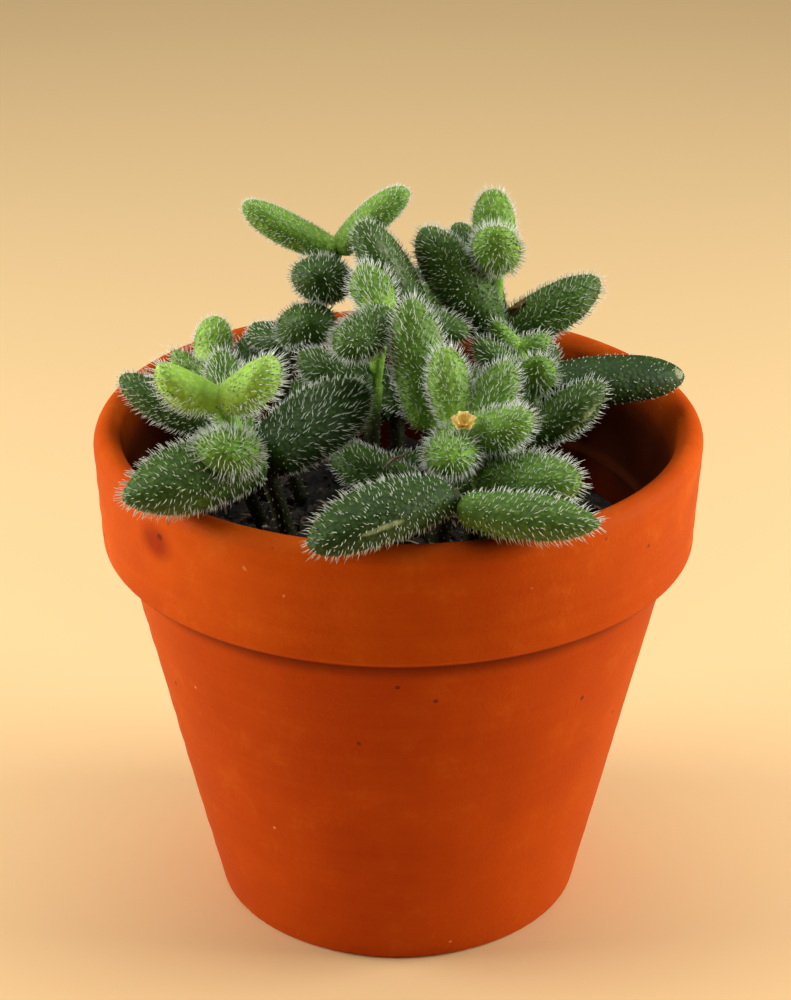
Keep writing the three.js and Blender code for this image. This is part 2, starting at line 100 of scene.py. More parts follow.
# A leaf is (stem point, heading, rise, length, width, curve, point, tone, bristle length,
# bristle spacing, share of bristles on its upper face). Point draws its tip from blunt at 0 to
# sharp at 1, and tone runs from deep green at 0 to lime at 1.
Shoot = namedtuple("Shoot", "look thick stem leaves on", defaults=[None])
SHOOTS = {
    "shoot_left": Shoot(
        look="old", thick=1.2,
        stem=[(-13, -12, 50), (-14.5, -17, 61), (-17.2, -22.3, 72.4), (-19.4, -22.5, 74.4)],
        leaves=[
            (2, -142, 4, 19.6, 10, -0.03, 0.9, 0.3, 1.15, 0.7, 1),
            (2, 45, 12, 18.6, 9.8, 0.01, 0.3, 0.12, 1.1, 0.7, 0.9),
            (3, -104, 14, 10.5, 7.4, 0.03, 0.3, 0.6, 1.7, 0.5, 1),
            (3, 108, 42, 12.5, 5.4, 0.04, 0.3, 0.45, 1.3, 0.56, 1),
        ],
    ),
    "tip_left": Shoot(
        look="young", thick=1.3, on="shoot_left",
        stem=[(-19.4, -22.5, 74.4), (-21.5, -24.5, 81.3)],
        leaves=[
            (1, -166, 24, 9, 5.8, 0.07, 0.1, 0.92, 1.25, 0.5, 0.12),
            (1, -14, 30, 9, 6.6, 0.07, 0.1, 0.92, 1.3, 0.5, 0.5),
        ],
    ),
    "shoot_far_left": Shoot(
        look="old", thick=1,
        stem=[(-17, -2, 50), (-20, -4, 60), (-23, -6, 69.5)],
        leaves=[
            (2, 167, 20, 14.5, 6, 0.03, 0.3, 0.3, 1, 0.63, 1),
            (2, -15, -25, 11, 5, 0.1, 0.3, 0.25, 1, 0.7, 1),
        ],
    ),
    "tip_far_left": Shoot(
        look="young", thick=0.8, on="shoot_far_left",
        stem=[(-23, -6, 69.5), (-24, -3, 74)],
        leaves=[
            (1, 151, 22, 7, 4, 0.08, 0.5, 0.7, 1.5, 0.53, 1),
            (1, -20, 25, 5, 3.4, 0.08, 0.4, 0.7, 1.4, 0.53, 1),
        ],
    ),
    "shoot_back_left": Shoot(
        look="old", thick=1,
        stem=[(-18, 13, 50), (-21, 14, 59), (-23, 15, 66)],
        leaves=[
            (2, 62, 26, 10.6, 5.4, 0.05, 0.2, 0.25, 0.9, 0.7, 1),
            (2, -130, 0, 10, 4.8, 0.08, 0.3, 0.3, 0.9, 0.7, 1),
            (1, 120, 25, 10, 4.8, 0.1, 0.3, 0.3, 0.9, 0.7, 1),
        ],
    ),
    "tip_back_left": Shoot(
        look="young", thick=0.9, on="shoot_back_left",
        stem=[(-23, 15, 66), (-25.8, 16, 69)],
        leaves=[
            (1, 79, 47, 7, 5.2, 0.05, 0.3, 0.82, 0.8, 0.53, 1),
            (1, -100, 5, 6, 3.8, 0.08, 0.4, 0.6, 1, 0.56, 1),
        ],
    ),
    "shoot_top": Shoot(
        look="old", thick=1,
        stem=[(-13, 10, 50), (-16, 10, 63), (-13.5, 10.5, 75.6), (-9.3, 11, 82.3)],
        leaves=[
            (2, 130, -20, 10, 5.4, 0.08, 0.3, 0.2, 0.9, 0.7, 1),
            (2, -76, 34, 13, 7.4, -0.03, 0.1, 0.3, 0.95, 0.67, 1),
            (3, -98, 33, 12, 7.5, -0.03, 0.2, 0.25, 1, 0.63, 1),
            (3, 90, -10, 10, 6, 0.05, 0.3, 0.3, 0.9, 0.7, 1),
            (1, 60, 15, 12, 5.4, 0.08, 0.3, 0.3, 0.9, 0.7, 1),
        ],
    ),
    "tip_top": Shoot(
        look="young", thick=0.8, on="shoot_top",
        stem=[(-9.3, 11, 82.3), (-8.1, 11, 87.5)],
        leaves=[
            (1, -175, 27, 14, 5.5, 0.02, 0, 0.68, 0.55, 0.43, 0.8),
            (1, 0, 46, 12.6, 5.4, -0.03, 0, 0.68, 0.55, 0.43, 0.8),
        ],
    ),
    "shoot_middle": Shoot(
        look="old", thick=1.1,
        stem=[(-3, -3, 50), (-3.5, -3, 63), (-3, -4.5, 75.5)],
        leaves=[
            (2, 172, 11, 10.5, 6, 0.03, 0.3, 0.25, 1.1, 0.63, 1),
            (1, 178, 30, 10.5, 5.6, 0.1, 0.3, 0.2, 0.8, 0.77, 1),
            (1, -10, 0, 9, 5.2, 0.1, 0.3, 0.25, 0.9, 0.7, 1),
        ],
    ),
    "tip_middle": Shoot(
        look="young", thick=1, on="shoot_middle",
        stem=[(-3, -4.5, 75.5), (-1.8, -6, 85.5)],
        leaves=[
            (1, -118, -11, 11, 6.2, 0.03, 0.2, 0.36, 1.35, 0.5, 1),
            (1, 118, 33, 7.5, 5.6, 0.03, 0.9, 0.58, 1.35, 0.5, 1),
        ],
    ),
    "shoot_behind": Shoot(
        look="old", thick=1.1,
        stem=[(5, 5, 50), (4, 4, 68), (2.5, 3, 82)],
        leaves=[
            (2, 170, 57, 14, 7.2, 0, 0.3, 0.32, 0.9, 0.63, 1),
            (2, -40, -18, 8, 5.2, 0.08, 0.4, 0.35, 1.2, 0.6, 1),
            (1, 150, 15, 11, 5.4, 0.08, 0.3, 0.25, 0.9, 0.7, 1),
        ],
    ),
    "shoot_inner": Shoot(
        look="old", thick=1.1,
        stem=[(3, -9, 50), (3.5, -11.5, 63), (4.1, -14.5, 72.9)],
        leaves=[
            (2, 128, 75, 17, 7, 0, 0.5, 0.54, 1.35, 0.56, 1),
            (1, 165, 14, 13.5, 7, 0.05, 0.3, 0.3, 1, 0.7, 1),
            (1, 5, 10, 10, 5.4, 0.1, 0.3, 0.25, 0.9, 0.7, 1),
        ],
    ),
    "shoot_back_right": Shoot(
        look="old", thick=1.2,
        stem=[(12, 10, 50), (12.5, 9.5, 65), (13, 9, 76.5)],
        leaves=[
            (2, -159, 57, 19, 8.8, 0, 0.1, 0.34, 0.95, 0.6, 1),
            (2, 8, 23, 15.5, 7.6, 0.03, 0.4, 0.37, 1.05, 0.63, 1),
            (2, 126, 56, 15.8, 6.6, 0, 0.2, 0.35, 0.8, 0.67, 1),
            (1, 40, -25, 9, 5.4, 0.06, 0.3, 0.25, 0.9, 0.7, 1),
        ],
    ),
    "tip_back_right": Shoot(
        look="young", thick=0.95, on="shoot_back_right",
        stem=[(13, 9, 76.5), (13, 9, 86.7)],
        leaves=[
            (1, 97, 54, 9.6, 5.6, 0.05, 0.1, 0.68, 1, 0.46, 0.6),
            (1, -95, 36, 10, 6.2, 0.05, 0.1, 0.76, 1.4, 0.46, 1),
        ],
    ),
    "shoot_low_front": Shoot(
        look="old", thick=1.2,
        stem=[(4, -20, 50), (5, -26, 61), (6, -32, 72.1), (7, -35, 71.9)],
        leaves=[
            (2, -146, 3, 19.6, 8.4, -0.06, 0.3, 0.16, 1.1, 0.7, 0.9),
            (3, -13, -1, 17.2, 6.7, 0, 0.8, 0.42, 1.1, 0.7, 0.9),
        ],
    ),
    "shoot_front": Shoot(
        look="old", thick=1.2,
        stem=[(8, -15, 50), (9.5, -19, 61), (10.5, -22, 70.6)],
        leaves=[
            (2, -40, 6, 14.5, 9, 0.03, 0.5, 0.5, 1.35, 0.6, 1),
            (1, 10, 5, 11, 5.4, 0.08, 0.3, 0.25, 0.9, 0.7, 1),
        ],
    ),
    "tip_front": Shoot(
        look="young", thick=1.2, on="shoot_front",
        stem=[(10.5, -22, 70.6), (7.8, -20.3, 75.3)],
        leaves=[
            (1, -103, -3, 10.5, 6.2, 0.03, 0.1, 0.67, 1.5, 0.48, 1),
            (1, 122, 62, 10.6, 5.4, 0.03, 0.1, 0.75, 1.15, 0.46, 0.9),
            (1, 34, 39, 10.4, 6, 0.05, 0.2, 0.6, 1.2, 0.49, 0.9),
            (1, -29, 15, 10.1, 6.8, 0.05, 0.3, 0.66, 1.2, 0.48, 0.9),
        ],
    ),
    "shoot_right": Shoot(
        look="old", thick=1.2,
        stem=[(14, -5, 50), (16, -8, 61), (16, -8.5, 69.5), (17.5, -2, 73.7)],
        leaves=[
            (3, 16, -1, 21, 7.8, -0.015, 0.2, 0.1, 0.35, 0.95, 0.8),
            (2, -3, 32, 12.5, 6.8, 0.03, 0.6, 0.32, 1.1, 0.67, 1),
            (3, -87, 38, 8.9, 5, 0.05, 0.3, 0.64, 1.3, 0.53, 1),
            (3, 180, 36, 9.8, 5, 0.03, 0.3, 0.35, 1.2, 0.6, 1),
        ],
    ),
    "tip_right": Shoot(
        look="young", thick=0.8, on="shoot_right",
        stem=[(17.5, -2, 73.7), (15.5, 2, 77.7)],
        leaves=[
            (1, -160, 40, 5, 3.4, 0.05, 0.4, 0.68, 1, 0.49, 1),
            (1, 10, 3, 4.5, 3.2, 0.05, 0.4, 0.68, 1.2, 0.49, 1),
        ],
    ),
    "shoot_rear": Shoot(
        look="old", thick=1.1,
        stem=[(0, 17, 50), (0, 20, 61), (1, 22, 69.4)],
        leaves=[
            (2, 87, 13, 21, 7.6, -0.03, 0.4, 0.15, 0.9, 0.7, 1),
            (2, -95, 30, 9, 5.4, 0.05, 0.3, 0.25, 1, 0.7, 1),
            (1, 20, 10, 13, 6.2, 0.06, 0.3, 0.25, 1, 0.7, 1),
            (1, 160, 8, 12, 6.2, 0.06, 0.3, 0.25, 1, 0.7, 1),
        ],
    ),
    "tip_rear": Shoot(
        look="young", thick=0.9, on="shoot_rear",
        stem=[(1, 22, 69.4), (1, 22, 74.4)],
        leaves=[
            (1, 10, 30, 8, 5, 0.05, 0.2, 0.6, 1.2, 0.53, 1),
            (1, -170, 30, 8, 5, 0.05, 0.2, 0.6, 1.2, 0.53, 1),
        ],
    ),
    "shoot_rear_right": Shoot(
        look="old", thick=1,
        stem=[(16, 18, 50), (18, 19, 56), (19, 20, 60)],
        leaves=[
            (2, 75, 50, 11, 5.6, 0.05, 0.3, 0.3, 1, 0.7, 1),
            (2, -25, 30, 9, 5.4, 0.05, 0.3, 0.3, 1, 0.7, 1),
        ],
    ),
}


class Wire:
    """A socket of a material's nodes. Sums on it add Math nodes, and node() adds any other."""

    def __init__(self, tree, socket=None):
        self.tree = tree
        self.socket = socket

    def node(self, kind, settings=None, sockets=None, out=0):
        made = self.tree.nodes.new(kind)
        for key, value in (settings or {}).items():
            if key == "stops":
                fill_ramp(made.color_ramp, value)
            else:
                setattr(made, key, value)
        for key, value in (sockets or {}).items():
            if isinstance(value, Wire):
                self.tree.links.new(value.socket, made.inputs[key])
            else:
                made.inputs[key].default_value = value
        return Wire(self.tree, made.outputs[out])

    def sum(self, operation, first, second=0.0):
        return self.node("ShaderNodeMath", {"operation": operation}, {0: first, 1: second})

    def __add__(self, other):
        return self.sum("ADD", self, other)

    def __sub__(self, other):
        return self.sum("SUBTRACT", self, other)

    def __rsub__(self, other):
        return self.sum("SUBTRACT", other, self)

    def __mul__(self, other):
        return self.sum("MULTIPLY", self, other)

    __radd__ = __add__
    __rmul__ = __mul__

    def step(self, low, high):
        """0 below low, 1 above high and a smooth rise between; a fall where low is over high."""
        if low > high:
            return 1 - self.step(high, low)
        settings = {"interpolation_type": "SMOOTHSTEP"}
        return self.node("ShaderNodeMapRange", settings, {0: self, 1: low, 2: high})

    def mix(self, first, second):
        """The colour first where this value is 0, and second where it is 1."""
        return self.node("ShaderNodeMix", {"data_type": "RGBA"}, {0: self, 6: first, 7: second}, 2)

    def stretch(self, scale):
        """A point or direction with its three parts multiplied by scale."""
        return self.node("ShaderNodeVectorMath", {"operation": "MULTIPLY"}, {0: self, 1: scale})

    def distance(self, place):
        return self.node("ShaderNodeVectorMath", {"operation": "DISTANCE"}, {0: self, 1: place}, 1)

    def noise(self, scale, detail=3.0, rough=0.5):
        return self.node("ShaderNodeTexNoise", None,
                         {"Vector": self, "Scale": scale, "Detail": detail, "Roughness": rough})

    def cells(self, scale, out=0):
        """Distance to the nearest of scattered points (out 0) or that point's colour (out 1)."""
        return self.node("ShaderNodeTexVoronoi", None, {"Vector": self, "Scale": scale}, out)

    def part(self, index):
        return self.node("ShaderNodeSeparateXYZ", None, {0: self}, index)


def fill_ramp(ramp, stops):
    while len(ramp.elements) < len(stops):
        ramp.elements.new(0.5)
    for element, (position, colour) in zip(ramp.elements, stops):
        element.position = position
        element.color = (*colour, 1)


def colour(red, green, blue):
    return (red, green, blue, 1)


def finish(name):
    """A new material, a Wire to start from, the material's shader and the surface's place."""
    material = bpy.data.materials.new(name)
    material.use_nodes = True
    tree = material.node_tree
    shader = tree.nodes["Principled BSDF"]
    start = Wire(tree)
    place = start.node("ShaderNodeTexCoord", None, None, 3)
    return material, start, shader, place


def paint(start, shader, **sockets):
    """Sets the shader's sockets, named with _ for a space, to values or links."""
    for key, value in sockets.items():
        socket = shader.inputs[key.replace("_", " ")]
        if isinstance(value, Wire):
            start.tree.links.new(value.socket, socket)
        else:
            socket.default_value = value


def bump(start, height, depth, strength=1.0):
    """A bump from a height of 0 to 1 that stands depth metres high."""
    return start.node("ShaderNodeBump", None,
                      {"Strength": strength, "Distance": depth, "Height": height})


def attribute(start, name):
    return start.node("ShaderNodeAttribute", {"attribute_name": name}, None, 2)


# Specks and chips on the collar: place and reach in metres, colour and strength
CLAY_MARKS = [
    ((-0.0292, -0.0268, 0.0641), 0.0007, (0.12, 0.014, 0.002), 0.8),
    ((-0.0137, -0.0371, 0.0612), 0.0003, (0.85, 0.34, 0.12), 0.6),
    ((-0.0278, -0.0281, 0.0668), 0.0007, (0.16, 0.030, 0.008), 0.7),
    ((-0.0184, -0.0351, 0.0640), 0.0005, (0.85, 0.34, 0.12), 0.6),
    ((0.0250, -0.0308, 0.0659), 0.0005, (0.10, 0.030, 0.012), 0.8),
    ((0.0309, -0.0249, 0.0619), 0.0004, (0.10, 0.030, 0.012), 0.8),
]


def clay():
    """Fired clay: mottled orange, fine grit, throwing lines, dark specks and one stain, with painted
    shade on the inner wall and below the collar.
    """
    material, start, shader, place = finish("clay")
    broad = place.noise(28, 3)
    cloud = place.noise(130, 4, 0.6)
    grit = place.noise(1900, 3, 0.7)
    lines = place.stretch((9, 9, 900)).noise(1, 3, 0.6)
    base = (0.6 * broad + 0.4 * cloud).step(0.36, 0.64).mix(
        colour(0.50, 0.056, 0.0010), colour(0.62, 0.084, 0.0020))
    base = ((lines - 0.5) * 0.4 + 0.08).mix(base, colour(0.68, 0.13, 0.008))
    bloom = (cloud * place.noise(420, 4, 0.7)).step(0.27, 0.42) * 0.22
    base = bloom.mix(base, colour(0.70, 0.18, 0.02))
    # Painted shade: the inner wall darkened almost to black, fading out towards the lip
    base = (attribute(start, "inside") * 0.94).mix(base, colour(0.036, 0.005, 0.0006))
    height = place.part(2)
    # Painted shade: the wall below the collar a little darker
    base = (height.step(0.054, 0.050) * 0.3).mix(base, colour(0.34, 0.026, 0.0004))
    # Painted shadow: a dark line just under the collar
    groove = height.step(0.0482, 0.0512) * height.step(0.0528, 0.0523)
    base = (groove * 0.8).mix(base, colour(0.09, 0.008, 0.0005))
    stain = place.stretch((0.7, 0.7, 0.85)).distance((-0.0210, -0.0182, 0.0536)).step(0.0031, 0.0006)
    base = (stain * (0.4 + 0.9 * cloud)).mix(base, colour(0.30, 0.018, 0.0008))
    for where, reach, tint, strength in CLAY_MARKS:
        mark = (place.distance(where) + (grit - 0.5) * 0.0006).step(reach, 0.5 * reach)
        base = (mark * strength).mix(base, colour(*tint))
    speck = place.cells(210).step(0.085, 0.05) * place.cells(210, 1).part(0).step(0.80, 0.84)
    base = (speck * 0.75).mix(base, colour(0.10, 0.030, 0.014))
    pale = place.cells(330).step(0.09, 0.05) * place.cells(330, 1).part(1).step(0.93, 0.95)
    base = (pale * 0.6).mix(base, colour(0.85, 0.42, 0.20))
    relief = grit * 0.45 + lines * 0.3 + cloud * 0.25 - speck * 0.8
    paint(start, shader, Base_Color=base, Roughness=0.55 + cloud * 0.2, Specular_IOR_Level=0.12,
          Specular_Tint=(1, 0.55, 0.25, 1),
          Normal=bump(start, relief, 0.00022, 0.7))
    return material


def earth():
    """Dark potting mix: near-black crumbs with browner ones among them."""
    material, start, shader, place = finish("earth")
    crumb = place.cells(900, 1).part(0)
    cloud = place.noise(300, 4, 0.6)
    tone = (crumb * 0.6 + cloud * 0.4).step(0.3, 0.8)
    base = tone.mix(colour(0.006, 0.005, 0.004), colour(0.034, 0.023, 0.014))
    paint(start, shader, Base_Color=base, Roughness=0.85 - cloud * 0.2,
          Normal=bump(start, place.noise(2500, 4, 0.7), 0.0004, 0.9))
    return material


def bits(name, dark, light):
    """A dry fleck of bark, straw or perlite, mottled between two colours."""
    material, start, shader, place = finish(name)
    cloud = place.noise(900, 4, 0.65)
    base = cloud.step(0.35, 0.65).mix(colour(*dark), colour(*light))
    paint(start, shader, Base_Color=base, Roughness=0.8,
          Normal=bump(start, place.noise(2250, 3), 0.0002, 0.8))
    return material


def leaf_skin():
    """Leaf skin: tone and marks come from the mesh, with darker grooves between small cells."""
    material, start, shader, place = finish("leaf_skin")
    tone = attribute(start, "tone")
    stalk = attribute(start, "stalk")
    cloud = place.noise(170, 3, 0.6)
    fine = place.noise(1400, 3, 0.6)
    dot = place.cells(1500)
    groove = dot.step(0.30, 0.70) * (1 - stalk)
    freckle = dot.step(0.36, 0.10) * (1 - stalk)
    shift = (cloud - 0.5) * 0.14 + (fine - 0.5) * 0.12 - groove * 0.09 + freckle * 0.15
    ramp = [(0, (0.015, 0.038, 0.006)), (0.2, (0.040, 0.086, 0.013)), (0.4, (0.084, 0.170, 0.022)),
            (0.6, (0.150, 0.305, 0.033)), (0.8, (0.262, 0.480, 0.054)), (1, (0.450, 0.720, 0.095))]
    base = start.node("ShaderNodeValToRGB", {"stops": ramp}, {0: tone + shift})
    net = attribute(start, "net") * groove.step(0.15, 0.6)
    base = (net * 0.7).mix(base, colour(0.30, 0.37, 0.20))
    dry = (attribute(start, "scar") * (0.45 + fine)).step(0.25, 0.75)
    base = (dry * 0.8).mix(base, colour(0.36, 0.40, 0.20))
    woody = stalk * (1 - tone).step(0.35, 0.6)
    base = (woody * 0.7).mix(base, colour(0.040, 0.030, 0.016))
    relief = (1 - dot) * 0.7 + fine * 0.3
    paint(start, shader, Base_Color=base, Roughness=0.46 + fine * 0.2 + dry * 0.2,
          Specular_IOR_Level=0.2, Normal=bump(start, relief, 0.00022, 0.8), Subsurface_Weight=0.12,
          Subsurface_Radius=(0.6, 1.0, 0.3), Subsurface_Scale=0.0012)
    return material


def bristle_hair():
    """A bristle: the leaf's green at its wart, then clear white, duller on an old leaf."""
    material, start, shader, _ = finish("bristle")
    up = attribute(start, "up")
    tone = attribute(start, "tone")
    wart = tone.mix(colour(0.05, 0.11, 0.02), colour(0.42, 0.60, 0.12))
    shaft = tone.mix(colour(0.67, 0.71, 0.58), colour(0.92, 0.95, 0.84))
    base = up.step(0.04, 0.34).mix(wart, shaft)
    paint(start, shader, Base_Color=base, Roughness=0.35)
    return material


def petal_skin():
    """A wilted petal: yellow, browner and more orange towards its edge and tip."""
    material, start, shader, place = finish("petal")
    cloud = place.noise(1500, 3, 0.6)
    base = (attribute(start, "along") + (cloud - 0.5) * 0.8).step(0.3, 1.0).mix(
        colour(1.0, 0.80, 0.28), colour(0.80, 0.34, 0.04))
    paint(start, shader, Base_Color=base, Roughness=0.6,
          Normal=bump(start, cloud, 0.0002, 0.8))
    return material


# Meshes. A form is (points, triangles, values), and values are named numbers, one a point.
def joined(forms):
    """Several forms as one."""
    starts = np.cumsum([0] + [len(form[0]) for form in forms[:-1]])
    points = np.concatenate([form[0] for form in forms])
    triangles = np.concatenate([form[1] + start for form, start in zip(forms, starts)])
    values = {key: np.concatenate([form[2][key] for form in forms]) for key in forms[0][2]}
    return points, triangles, values


def outward(points, triangles):
    """The triangles, turned round if the closed surface holds a negative volume."""
    first, second, third = (points[triangles[:, k]] for k in range(3))
    if np.einsum("ij,ij->", first, np.cross(second, third)) < 0:
        return triangles[:, ::-1]
    return triangles


def tube(rows, **values):
    """A closed skin from rings of points (rows, columns, 3), with a point at each end's middle.

    Each value is an array of (rows, columns)."""
    count, sides = rows.shape[:2]
    row, column = np.meshgrid(np.arange(count - 1), np.arange(sides), indexing="ij")
    a = row * sides + column
    b = row * sides + (column + 1) % sides
    wall = np.concatenate([np.stack([a, b, b + sides], -1).reshape(-1, 3),
                           np.stack([a, b + sides, a + sides], -1).reshape(-1, 3)])
    turn = np.arange(sides)
    ends = [np.stack([np.full(sides, count * sides + end), base + (turn + 1 - end) % sides,
                      base + (turn + end) % sides], -1)
            for end, base in ((0, 0), (1, (count - 1) * sides))]
    points = np.concatenate([rows.reshape(-1, 3), rows[[0, -1]].mean(1)])
    triangles = np.concatenate([wall, *ends])
    full = {key: np.concatenate([value.ravel(), value[[0, -1]].mean(1)])
            for key, value in values.items()}
    return points, outward(points, triangles), full


def piece(name, form, material, slot, *nodes):
    """Makes a form a smooth mesh in metres that rides on the root and stands for the nodes."""
    points, triangles, values = form
    mesh = bpy.data.meshes.new(name)
    mesh.vertices.add(len(points))
    mesh.vertices.foreach_set("co", (points * MM).astype(np.float32).ravel())
    mesh.loops.add(triangles.size)
    mesh.loops.foreach_set("vertex_index", triangles.astype(np.int32).ravel())
    mesh.polygons.add(len(triangles))
    mesh.polygons.foreach_set("loop_start", np.arange(0, triangles.size, 3, dtype=np.int32))
    mesh.polygons.foreach_set("use_smooth", np.ones(len(triangles), bool))
    mesh.update(calc_edges=True)
    for key, value in values.items():
        layer = mesh.attributes.new(key, "FLOAT", "POINT")
        layer.data.foreach_set("value", value.astype(np.float32))
    mesh.materials.append(material)
    made = bpy.data.objects.new(name, mesh)
    bpy.context.scene.collection.objects.link(made)
    if nodes:
        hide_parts(*nodes)
    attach(made, "root")


def unit(vectors):
    return vectors / np.linalg.norm(vectors, axis=-1, keepdims=True)


def smooth(value, low, high):
    """0 below low, 1 above high and a smooth rise between."""
    t = np.clip((value - low) / (high - low), 0, 1)
    return t * t * (3 - 2 * t)


# Pot
def bend(corner, before, after, radius, steps=6):
    """Points round a corner of a profile: a quadratic curve that starts and ends radius away."""
    corner, before, after = (np.array(point, float) for point in (corner, before, after))
    start = corner + radius * unit(before - corner)
    end = corner + radius * unit(after - corner)
    t = np.linspace(0, 1, steps)[:, None]
    return (1 - t) ** 2 * start + 2 * t * (1 - t) * corner + t ** 2 * end


def straight(start, end, steps):
    t = np.linspace(0, 1, steps + 2)[1:-1, None]
    return np.array(start, float) * (1 - t) + np.array(end, float) * t


def pot_profile():
    """Radius and height round the pot's wall: foot, wall, groove, collar, lip, inside, floor."""
    wall_top = (SHOULDER_RADIUS + 0.15, COLLAR_FOOT_HEIGHT - 0.2)
    collar_foot = (COLLAR_FOOT_RADIUS, COLLAR_FOOT_HEIGHT)
    foot = (FOOT_RADIUS + 0.2, 0)
    rim = (RIM_RADIUS, POT_HEIGHT - LIP_DROP)
    angle = np.linspace(0, math.pi, 23)
    side = np.cos(angle)
    reach = np.where(side > 0, RIM_RADIUS - LIP_RADIUS, LIP_RADIUS - MOUTH_RADIUS)
    lip = np.stack([LIP_RADIUS + side * reach, POT_HEIGHT - LIP_DROP * (1 - np.sin(angle))], -1)
    throat = (THROAT_RADIUS, COLLAR_FOOT_HEIGHT)
    floor = (FLOOR_RADIUS, FLOOR_HEIGHT)
    return np.concatenate([
        [(DRAIN_RADIUS + 0.4, 0), (FOOT_RADIUS - 1, 0)],
        bend(foot, (0, 0), wall_top, FOOT_BEVEL),
        straight(foot, wall_top, 24),
        bend(wall_top, foot, collar_foot, 0.5),
        bend(collar_foot, wall_top, rim, 1.0, 8),
        straight((COLLAR_FOOT_RADIUS + 0.05, COLLAR_FOOT_HEIGHT + 1.4), rim, 10),
        lip,
        straight((MOUTH_RADIUS, POT_HEIGHT - LIP_DROP), throat, 8),
        bend(throat, (MOUTH_RADIUS, POT_HEIGHT), floor, 2.0),
        straight(throat, floor, 10)[1:],
        bend(floor, throat, (0, FLOOR_HEIGHT), 3.0),
        bend((DRAIN_RADIUS, FLOOR_HEIGHT), (FLOOR_RADIUS, FLOOR_HEIGHT), (DRAIN_RADIUS, 0), 0.5),
        bend((DRAIN_RADIUS, 0), (DRAIN_RADIUS, FLOOR_HEIGHT), (FOOT_RADIUS, 0), 0.4),
    ])


def pot_form():
    """The profile turned once round Z, a hair out of round: the radius wavers by slow sines of
    the angle and height, and the last profile point closes on the first."""
    sides = POT_SIDES
    angle = np.arange(sides) / sides * TURN
    profile = pot_profile()
    radius, height = profile[:, :1], profile[:, 1:]
    wave = 0.05 * np.sin(2 * angle + 0.06 * height) + 0.03 * np.sin(5 * angle + 0.2 * height)
    dent = 0.05 * np.sin(1.7 * height) * np.sin(angle * 3 + 1)
    wide = radius + (wave + dent) * smooth(height, 2, 8)
    rows = np.stack([wide * np.cos(angle), wide * np.sin(angle), height + 0 * angle], -1)
    count = len(profile)
    row, column = np.meshgrid(np.arange(count), np.arange(sides), indexing="ij")
    a = row * sides + column
    b = row * sides + (column + 1) % sides
    below = (row + 1) % count * sides
    c, d = below + (column + 1) % sides, below + column
    triangles = np.concatenate([np.stack([a, b, c], -1).reshape(-1, 3),
                                np.stack([a, c, d], -1).reshape(-1, 3)])
    points = rows.reshape(-1, 3)
    # inside holds painted shade for the inner wall: full below 62 mm, fading to none at the lip
    inner = np.arange(count) > np.argmax(profile[:, 1])
    inside = inner * (1 - smooth(profile[:, 1], 62, 67.7))
    return points, outward(points, triangles), {"inside": np.repeat(inside, sides)}


# Soil
def soil_top(x, y):
    """Height of the soil: a low mound round the front stems, and two crossing waves."""
    away = ((x - MOUND_PLACE[0]) ** 2 + (y - MOUND_PLACE[1]) ** 2) / MOUND_SPREAD ** 2
    wave = np.sin(0.5 * x + 1) * np.cos(0.6 * y) + 0.5 * np.sin(1.1 * y - 0.9 * x)
    return SOIL_HEIGHT + MOUND_HEIGHT * np.exp(-away / 2) + SOIL_RELIEF * wave


def rubble(x, y, sizes):
    """Lumps of several sizes: for each, the sum of many sine waves in seeded directions."""
    height = 0 * x
    for size, lift in sizes:
        for _ in range(7):
            heading, phase = draw.uniform(0, TURN, 2)
            pitch = TURN / (size * draw.uniform(0.7, 1.4))
            height = height + lift * np.sin(pitch * (x * np.cos(heading) + y * np.sin(heading)) + phase)
    return height


def inner_radius(height):
    """Radius of the pot's inner wall: two straight tapers that meet at the throat."""
    low = np.interp(height, [FLOOR_HEIGHT, COLLAR_FOOT_HEIGHT], [FLOOR_RADIUS, THROAT_RADIUS])
    high = np.interp(height, [COLLAR_FOOT_HEIGHT, POT_HEIGHT - LIP_DROP],
                     [THROAT_RADIUS, MOUTH_RADIUS])
    return np.where(height < COLLAR_FOOT_HEIGHT, low, high)


def soil_form():
    """Rings from the underside, up beside the wall, and in over the rough top. Each ring lies at
    one radius; a top point's height is soil_top plus three sizes of rubble."""
    angle = np.arange(SOIL_SIDES) / SOIL_SIDES * TURN
    under = FLOOR_HEIGHT + CLEAR
    wall = [(inner_radius(under) - CLEAR, under), (inner_radius(30) - CLEAR, 30),
            (inner_radius(SOIL_HEIGHT - 1.2) - CLEAR, SOIL_HEIGHT - 1.2)]
    edge = inner_radius(SOIL_HEIGHT) - CLEAR
    radii = np.concatenate([[radius for radius, _ in wall], np.linspace(edge, 0.3, 95)])
    x, y = radii[:, None] * np.cos(angle), radii[:, None] * np.sin(angle)
    top = soil_top(x, y) + rubble(x, y, [(5, 0.16), (2.2, 0.12), (1.1, 0.07)])
    top = np.where(radii[:, None] > edge - 0.5, SOIL_HEIGHT - 0.6, top)
    heights = np.array([height for _, height in wall])[:, None] + 0 * angle
    z = np.concatenate([heights, top[len(wall):]])
    return tube(np.stack([x, y, z], -1))


def pebble(centre, size, squash, seed):
    """A small lump: a sphere of five rings of eight points, its radius pushed by sines of the
    angle and the lift, squashed in height and turned by its seed."""
    around = np.arange(8) / 8 * TURN
    lift = np.linspace(-1.2, 1.2, 5)[:, None]
    swell = (1 + 0.22 * np.sin(3 * around + 5 * lift + seed)
             + 0.14 * np.sin(5 * around - 3 * lift + 2 * seed))
    reach = size / 2 * swell
    level = reach * np.cos(lift)
    rows = np.stack([level * np.cos(around), level * np.sin(around) * 0.8,
                     reach * np.sin(lift) * squash], -1)
    turn = seed * 1.7
    cosine, sine = math.cos(turn), math.sin(turn)
    spin = np.array([[cosine, -sine, 0], [sine, cosine, 0], [0, 0, 1]])
    return tube(rows @ spin.T + np.array(centre))


